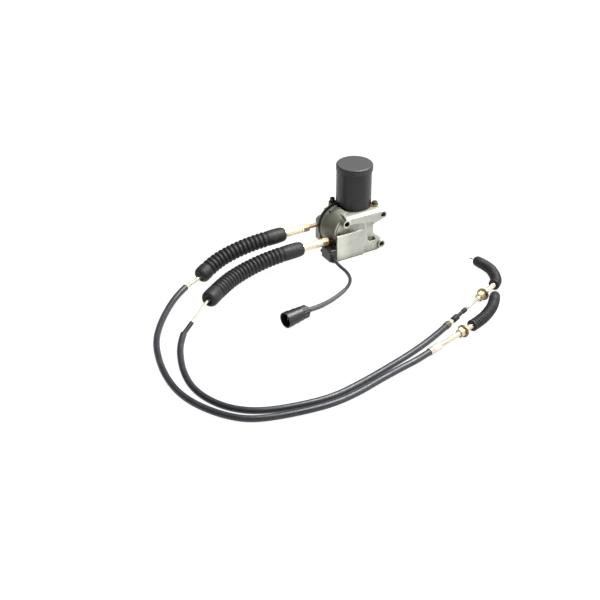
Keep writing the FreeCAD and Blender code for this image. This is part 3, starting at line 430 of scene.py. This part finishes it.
BRIGHT_METAL = srgb(224, 224, 218)
BRIGHT_ZINC = srgb(246, 240, 220)
FINISHES = {
    "cast_aluminium": dict(
        colour=srgb(186, 188, 178), roughness=0.5, metallic=0.3, blot=0.018, contrast=0.10, grain=0.0012,
        relief=0.00012, edge=0.0006, worn=srgb(240, 241, 236), wear=0.7, dirt=srgb(146, 148, 132),
        # Painted shade: a dark brown in the casting's hollows and recesses.
        crevice_shade=srgb(98, 86, 58),
        # Painted light: the casting is lighter towards its left end.
        zones=[(lambda n: n.place("X"), -0.026, -0.044, srgb(214, 217, 204)),
               # Painted shade: darker where the surface faces left, on the drum's flank.
               (lambda n: n.facing((-0.92, 0.0, 0.39)), 0.25, 0.80, srgb(118, 120, 103)),
               # Painted shadow: darker along the bottom edge, where the casting meets the floor.
               (lambda n: n.place("Z"), 0.0022, 0.0006, srgb(104, 106, 102))]),
    "cover_casting": dict(
        colour=srgb(146, 147, 140), roughness=0.55, metallic=0.3, blot=0.016, contrast=0.08, grain=0.0012,
        # Painted shade: crevice_shade darkens the cover's hollows.
        relief=0.00012, edge=0.0005, worn=BRIGHT_METAL, crevice_shade=srgb(80, 72, 54)),
    "black_rubber": dict(
        colour=srgb(36, 35, 37), roughness=0.56, blot=0.009, contrast=0.18, grain=0.0006, relief=0.00003,
        edge=0.0003, dirt=srgb(58, 58, 56), specular=0.36),
    "gasket_rubber": dict(
        colour=srgb(26, 26, 27), roughness=0.6, blot=0.008, contrast=0.15, grain=0.0006, relief=0.00004),
    "black_paint": dict(
        colour=srgb(19, 19, 20), roughness=0.40, blot=0.014, contrast=0.16, grain=0.0008, relief=0.00004,
        edge=0.0004, worn=srgb(110, 108, 102), specular=0.45, coat=0.1),
    "cap_rubber": dict(
        colour=srgb(38, 38, 39), roughness=0.46, blot=0.012, contrast=0.14, grain=0.0007, relief=0.00003,
        # The zone lightens the cap's top: partly dust, partly painted light on the face that looks up.
        edge=0.0008, zones=[(lambda n: n.facing((0.0, 0.0, 1.0)), 0.45, 0.99, srgb(72, 71, 71))]),
    "black_plastic": dict(
        colour=srgb(36, 38, 38), roughness=0.42, blot=0.010, contrast=0.14, grain=0.0006, relief=0.00004,
        edge=0.0004, worn=srgb(110, 112, 110), wear=0.3),
    "grey_plastic": dict(
        colour=srgb(96, 97, 100), roughness=0.5, blot=0.008, contrast=0.1, grain=0.0006, relief=0.00004),
    "yellow_zinc": dict(
        colour=srgb(236, 226, 196), roughness=0.33, metallic=0.5, blot=0.007, contrast=0.08, grain=0.0007,
        relief=0.00003, edge=0.0003, worn=BRIGHT_ZINC, dirt=srgb(212, 192, 150)),
    "clear_zinc": dict(
        colour=srgb(222, 217, 198), roughness=0.32, metallic=0.5, blot=0.007, contrast=0.06, grain=0.0007,
        relief=0.00002),
    "brown_zinc": dict(
        colour=srgb(150, 128, 98), roughness=0.45, metallic=0.5, blot=0.006, contrast=0.15, grain=0.0007,
        relief=0.00005, edge=0.0003, worn=srgb(205, 195, 170), wear=0.4),
    "olive_crimp": dict(
        colour=srgb(112, 110, 84), roughness=0.5, metallic=0.4, blot=0.006, contrast=0.15, grain=0.0006,
        relief=0.00004),
    "dark_screw": dict(
        colour=srgb(78, 74, 72), roughness=0.42, metallic=0.6, blot=0.005, contrast=0.12, grain=0.0005,
        relief=0.00003, edge=0.0003, worn=srgb(160, 156, 150)),
    "steel": dict(
        colour=srgb(196, 196, 198), roughness=0.25, metallic=0.9, blot=0.006, contrast=0.06, grain=0.0005,
        relief=0.00002),
    "magnet": dict(
        colour=srgb(50, 50, 52), roughness=0.6, metallic=0.2, blot=0.006, contrast=0.1, grain=0.0006,
        relief=0.00004),
    "laminations": dict(
        colour=srgb(120, 120, 122), roughness=0.4, metallic=0.9, blot=0.006, contrast=0.1, grain=0.0005,
        relief=0.00006, brushed=(0.02, 0.02, 1.0)),
    "copper": dict(
        colour=srgb(190, 110, 70), roughness=0.3, metallic=0.9, blot=0.004, contrast=0.12, grain=0.0006,
        relief=0.00008, brushed=(1.0, 1.0, 0.1)),
    "carbon": dict(
        colour=srgb(40, 40, 42), roughness=0.55, metallic=0.1, blot=0.004, contrast=0.1, grain=0.0005,
        relief=0.00003),
    "bronze": dict(
        colour=srgb(176, 132, 76), roughness=0.38, metallic=0.9, blot=0.005, contrast=0.1, grain=0.0005,
        relief=0.00003),
    "contact": dict(
        colour=srgb(214, 190, 130), roughness=0.25, metallic=1.0, blot=0.003, contrast=0.06, grain=0.0004,
        relief=0.00001),
    "conduit_black": dict(
        colour=srgb(48, 50, 54), roughness=0.40, blot=0.012, contrast=0.14, grain=0.0008, relief=0.00003,
        edge=0.0003, dirt=srgb(62, 62, 66)),
}
MATERIALS = {name: surface(name, **finish) for name, finish in FINISHES.items()}
LEAD_SHEATH = surface("lead_sheath", colour=srgb(50, 50, 53), roughness=0.42, blot=0.008, contrast=0.16,
                      grain=0.0007, relief=0.00004)
SLEEVE_GREY = surface("sleeve_grey", colour=srgb(74, 73, 75), roughness=0.5, blot=0.006, contrast=0.16,
                      grain=0.0006, relief=0.00005)
CONNECTOR_BLACK = surface("connector_black", colour=srgb(30, 30, 33), roughness=0.40, blot=0.007,
                          contrast=0.28, grain=0.0006, relief=0.00005, edge=0.0005,
                          worn=srgb(104, 104, 108), wear=0.4)
OLIVE = srgb(112, 110, 76)
OLIVE_FROM, OLIVE_FULL = 0.0080, 0.0094          # distances from the nut's axis
CONNECTOR_NODES = ("connector_shell", "connector_collar", "connector_insert")


def paint(piece, material):
    piece.data.materials.clear()
    piece.data.materials.append(material)


def dress(piece, slot, material=None):
    """Give a new piece its material, chosen by its slot unless one is given, and its body."""
    paint(piece, material or MATERIALS[slot])
    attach(piece, "housing")
    return piece


def metres(point):
    return [c * MM for c in point]


def nut_finish(name):
    """Yellow zinc that has gone olive along the rim of the flange."""
    far = FAR[name]
    rim = (lambda n: n.from_axis(metres(far["start"]), unit(far["heading"])), OLIVE_FROM, OLIVE_FULL, OLIVE)
    return surface("nut_zinc_" + name, colour=srgb(224, 210, 168), roughness=0.36, metallic=0.5, blot=0.006,
                   contrast=0.12, grain=0.0007, relief=0.00004, edge=0.0003, worn=BRIGHT_ZINC,
                   # Painted shade: crevice_shade darkens the nut's hollows.
                   dirt=srgb(176, 150, 104), crevice_shade=srgb(120, 96, 62), zones=[rim])


def paint_nodes():
    finishes = {name: MATERIALS[SLOT_OF[name]] for name in NODES}
    finishes.update({name: CONNECTOR_BLACK for name in CONNECTOR_NODES})
    finishes.update({"far_nut_" + name: nut_finish(name) for name in FAR})
    for name, node in NODES.items():
        for material_slot in node.material_slots:
            material_slot.material = finishes[name]
        if not node.material_slots:
            node.data.materials.append(finishes[name])


# ---------------------------------------------------------------- cords
THREADS = {"upper": [(21.0, 103.0)], "lower": [(6.0, 17.0), (97.0, ON_CORD), (ON_CORD, 153.0)]}
THREAD_PITCH = 1.25
THREAD_DEPTH = 0.5
THREAD_STEPS = 5         # rings to a turn
THREAD_SEGMENTS = 28
FAR_REACH = 200.0
NECK = [(16.5, 2.0), (61.8, 2.0), (62.0, 2.6), (97.5, 2.6)]
NECK_SEGMENTS = 24
# The sleeves on the lead: where each starts and ends, counted back from the connector, and its radius.
LEAD_SLEEVES = ((95.5, 64.0, 3.35), (62.0, 36.0, 3.65), (34.0, -0.5, 4.0))
SLEEVE_START = 96.0
SLEEVE_START_R = 3.1
SLEEVE_INNER_R = 2.8
SLEEVE_PAST_END = 0.6
SLEEVE_STEPS = 8
SLEEVE_SEGMENTS = 32


def cad(*names):
    return [NODES[name] for name in names]


def unit(heading):
    return (math.cos(math.radians(heading)), math.sin(math.radians(heading)), 0.0)


def thread_profile(start, end):
    """Profile of a screw thread: each ring's radius follows the helix round it."""
    root = THREAD_R - THREAD_DEPTH
    rings = [(start, root)]
    step = THREAD_PITCH / THREAD_STEPS
    for i in range(int((end - start) / step) + 1):
        s = start + i * step

        def helix(angle, s=s):
            wave = 2 * abs((s / THREAD_PITCH - angle / (2 * math.pi)) % 1.0 - 0.5)
            return THREAD_R - THREAD_DEPTH * (1 - wave)
        rings.append((s, helix))
    return rings + [(end, root)]


def add_cables():
    for name, route in CONDUITS.items():
        far = FAR[name]
        adjuster = "far_adjuster_" + name
        conduit = dress(nurbs_curve("cable_" + name, route, CONDUIT_D / 2), "conduit_black")
        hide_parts("conduit_" + name)
        track = straight_track(far["start"], unit(far["heading"]), FAR_REACH)
        own = cad("far_ferrule_" + name, "far_nut_" + name, "wire_tip_" + name)
        if name == "lower":
            own += cad("far_seal")
        for i, (start, end) in enumerate(THREADS[name]):
            piece = turned(f"far_thread_{name}_{i + 1}", track, thread_profile(start, end), THREAD_SEGMENTS)
            dress(piece, "yellow_zinc")
            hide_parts(adjuster)
            if end <= ON_CORD:
                own.append(piece)
        if name == "lower":
            neck = dress(turned("far_neck_lower", track, NECK, NECK_SEGMENTS), "clear_zinc")
            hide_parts(adjuster)
            own.append(neck)


def add_lead():
    lead = dress(nurbs_curve("lead_wire", LEAD, LEAD_D / 2), "conduit_black", LEAD_SHEATH)
    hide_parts("lead")
    track = Track(route_line(LEAD))
    total = track.length / MM
    profile = [(total - SLEEVE_START, SLEEVE_INNER_R), (total - SLEEVE_START, SLEEVE_START_R)]
    for start, end, radius in LEAD_SLEEVES:
        for i in range(SLEEVE_STEPS + 1):
            profile.append((total - start + (start - end) * i / SLEEVE_STEPS, radius))
    profile.append((total + SLEEVE_PAST_END, SLEEVE_INNER_R))
    sleeve = dress(turned("lead_sleeve", track, profile, SLEEVE_SEGMENTS), "grey_plastic", SLEEVE_GREY)


# ---------------------------------------------------------------- rubber boots
# The folds' crests at the case end and at the far end, and how far from either end the folds stop.
NEAR_R = {"upper": (12.9, 13.5), "lower": (13.1, 13.95)}
NEAR_FOLDS = {"upper": (36.0, 22.0), "lower": (40.0, 28.0)}
NEAR_DEPTH = 2.5
NEAR_PITCH = 7.2
NEAR_SEGMENTS = 56


def add_near_boots():
    for name, route in NEAR_BOOTS.items():
        track = Track(route_line(route))
        total = track.length / MM
        first, last = NEAR_R[name]
        folds_from, folds_to = NEAR_FOLDS[name][0], total - NEAR_FOLDS[name][1]
        bore = GUIDE_R[name]
        socket = [(12.0, SLEEVE_R), (0.6, SLEEVE_R + 0.1), (0.0, SLEEVE_R + 0.5), (0.2, 7.4)]
        nose = curve_between((0.4, 7.7), (13.0, first - 0.5), 1.25, 10)
        barrel = [(17.0, first - 0.35), (24.0, first - 0.35), (folds_from - 4.0, first - 0.5),
                  (folds_from - 1.5, first - 0.9)]
        folds = bellows(folds_from, folds_to, (first, last), NEAR_DEPTH, NEAR_PITCH)
        cuff = [(folds_to + 1.0, last - 1.5), (folds_to + 2.5, last - 0.5), (folds_to + 5.0, last - 0.1),
                (total - 9.0, last - 0.05)]
        end = curve_between((total, 8.6), (total - 8.5, last - 0.1), 1.0, 9)[::-1]
        mouth = [(total - 0.4, 7.8), (total - 2.4, 7.0), (total - 3.0, bore + 0.6), (total - 12.0, bore)]
        profile = socket + nose + barrel + folds + cuff + end + mouth
        boot = dress(turned("bellows_" + name, track, profile, NEAR_SEGMENTS), "black_rubber")
        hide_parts("near_boot_" + name)


FAR_BOOT_R = 9.3
FAR_DEPTH = 1.9
FAR_PITCH = 4.8
FAR_SEGMENTS = 40


def add_far_boots():
    r = FAR_BOOT_R
    for name, far in FAR.items():
        first = Vector(far["start"]) + Vector(unit(far["heading"])) * far["boot_at"]
        track = Track(route_line([tuple(first)] + far["bends"]))
        total = track.length / MM
        bore = THREAD_R + 0.05
        socket = [(FAR_SOCKET, bore), (0.5, bore), (0.0, bore + 0.5), (0.0, r - 1.0), (0.6, r - 0.2)]
        rim = [(2.4, r), (4.0, r - 0.3), (4.8, r - 1.3), (6.0, r - 1.4)]
        folds = bellows(6.4, total - 20.0, (r - 0.1, r - 0.3), FAR_DEPTH, FAR_PITCH)
        cuff = [(total - 19.0, r - 0.9), (total - 17.5, r - 0.4), (total - 7.0, r - 0.7)]
        end = curve_between((total, 4.2), (total - 6.5, r - 0.8), 1.0, 6)[::-1]
        mouth = [(total, 3.4), (total - 1.0, TIP_BORE_R), (total - 9.0, TIP_BORE_R),
                 (total - TIP_BORE, TIP_ROOM_R)]
        profile = socket + rim + folds + cuff + end + mouth
        boot = dress(turned("far_bellows_" + name, track, profile, FAR_SEGMENTS), "black_rubber")
        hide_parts("far_boot_" + name)


# ---------------------------------------------------------------- cast pieces
# Each casting's node, with its new name and the voxel size it is remade with.
CASTINGS = {"gear_case": ("case_casting", 0.0009), "rear_cover": ("cover_casting", 0.0005)}
SMOOTH_ROUNDS = 2
SMOOTH_FACTOR = 0.5


def cast_copy(node, name, voxel):
    """The CAD piece again with the soft edges of a casting."""
    piece = bpy.data.objects.new(name, NODES[node].data.copy())
    bpy.context.scene.collection.objects.link(piece)
    remesh = piece.modifiers.new("remesh", "REMESH")
    remesh.mode = "VOXEL"
    remesh.voxel_size = voxel
    remesh.use_smooth_shade = True
    smooth = piece.modifiers.new("smooth", "SMOOTH")
    smooth.iterations = SMOOTH_ROUNDS
    smooth.factor = SMOOTH_FACTOR
    bpy.context.view_layer.update()
    evaluated = piece.evaluated_get(bpy.context.evaluated_depsgraph_get())
    mesh = bpy.data.meshes.new_from_object(evaluated)
    piece.modifiers.clear()
    piece.data = mesh
    mesh.shade_smooth()
    return piece


def add_castings():
    for node, (name, voxel) in CASTINGS.items():
        piece = dress(cast_copy(node, name, voxel), SLOT_OF[node])
        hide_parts(node)


# ---------------------------------------------------------------- stage
FLOOR_REACH = 30.0
FLOOR_Z = -0.0004
FLOOR_DARK = (0.05, 0.05, 0.05, 1.0)
FLOOR_LIGHT = (0.07, 0.07, 0.07, 1.0)
FLOOR_BLOT = 0.4
FLOOR_ROUGHNESS = 0.9
FLOOR_GLOW = 0.975
WORLD_GLOW = 0.12
WHITE = (1.0, 1.0, 1.0, 1.0)
# Each light: where it is, what it points at, its side in metres and its power in watts.
LIGHTS = {
    "key": ((0.9, -0.4, 2.2), (-0.15, -0.15, 0.0), 1.4, 145.0),
    "side": ((1.5, -1.9, 0.9), (0.0, 0.0, 0.05), 1.0, 9.0),
}


def add_stage():
    corners = [(x * FLOOR_REACH, y * FLOOR_REACH, FLOOR_Z) for x, y in ((-1, -1), (1, -1), (1, 1), (-1, 1))]
    floor = new_piece("floor", corners, [(0, 1, 2, 3)], smooth=False)
    n = Nodes("floor")
    tone = n.mix(n.span(n.noise(FLOOR_BLOT), "Fac", *DULL), "Result", FLOOR_DARK, FLOOR_LIGHT)
    n.link(tone, MIX_RESULT, n.shader, "Base Color")
    n.shader.inputs["Roughness"].default_value = FLOOR_ROUGHNESS
    n.shader.inputs["Emission Color"].default_value = WHITE
    n.shader.inputs["Emission Strength"].default_value = FLOOR_GLOW
    paint(floor, n.material)


def add_lights():
    scene = bpy.context.scene
    world = bpy.data.worlds.new("studio")
    world.use_nodes = True
    background = world.node_tree.nodes["Background"]
    background.inputs["Color"].default_value = WHITE
    background.inputs["Strength"].default_value = WORLD_GLOW
    scene.world = world
    for name, (place, aim, size, power) in LIGHTS.items():
        data = bpy.data.lights.new(name, "AREA")
        data.size = size
        data.energy = power
        light = bpy.data.objects.new(name, data)
        scene.collection.objects.link(light)
        light.location = place
        light.rotation_mode = "QUATERNION"
        light.rotation_quaternion = (Vector(aim) - Vector(place)).to_track_quat("-Z", "Y")
    scene.view_settings.view_transform = "Standard"
    scene.view_settings.look = "None"


add_camera()
paint_nodes()
add_cables()
add_lead()
add_near_boots()
add_far_boots()
add_castings()
add_stage()
add_lights()
